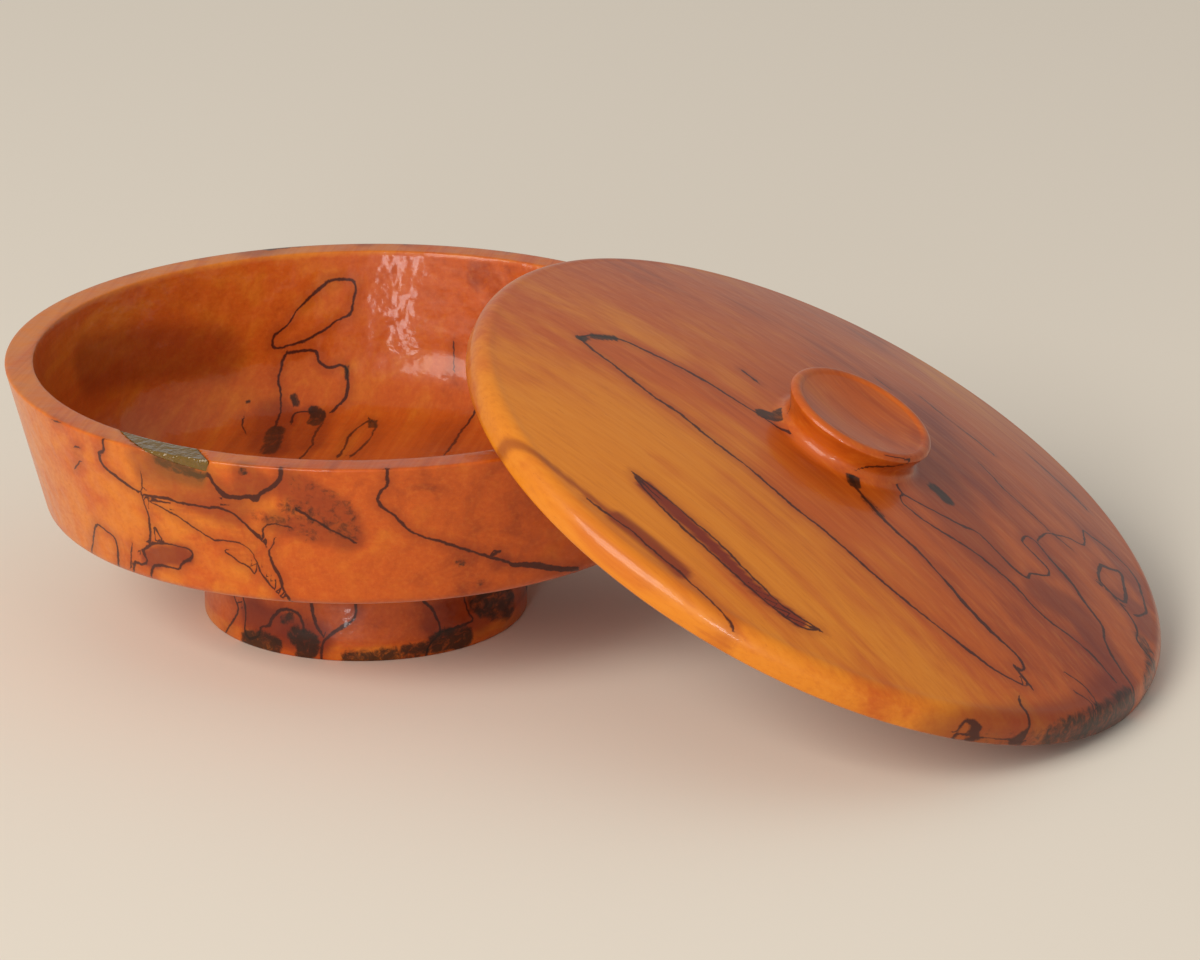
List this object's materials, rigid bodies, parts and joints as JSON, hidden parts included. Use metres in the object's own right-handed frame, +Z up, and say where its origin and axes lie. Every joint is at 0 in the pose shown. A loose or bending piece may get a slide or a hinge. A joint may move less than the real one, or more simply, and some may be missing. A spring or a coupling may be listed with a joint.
{
  "type": "lidded wooden bowl",
  "caption": "Turned wooden bowl on a pedestal foot, with a domed lid and round knob that leans on the rim and lifts off.",
  "frame": {"origin": "centre of the foot's flat base, on the bowl's axis, at the level of the table", "axes": "+Z up along the bowl's axis, +X towards the side where the lid leans down to the table"},
  "size_m": [0.4109, 0.262, 0.1246],
  "materials": {
    "spalted_wood_bowl": "gloss oil",
    "spalted_wood_lid": "gloss oil",
    "clear_resin": "clear resin, polished"
  },
  "bodies": {
    "bowl": {"bowl": "spalted_wood_bowl", "rim_resin_fill": "clear_resin"},
    "lid": {"lid": "spalted_wood_lid"}
  },
  "joints": [
    {"name": "lid_lift", "type": "slide", "parent": "bowl", "child": "lid", "axis": [0, 0, 1], "range_m": [0, 0.16]}
  ]
}
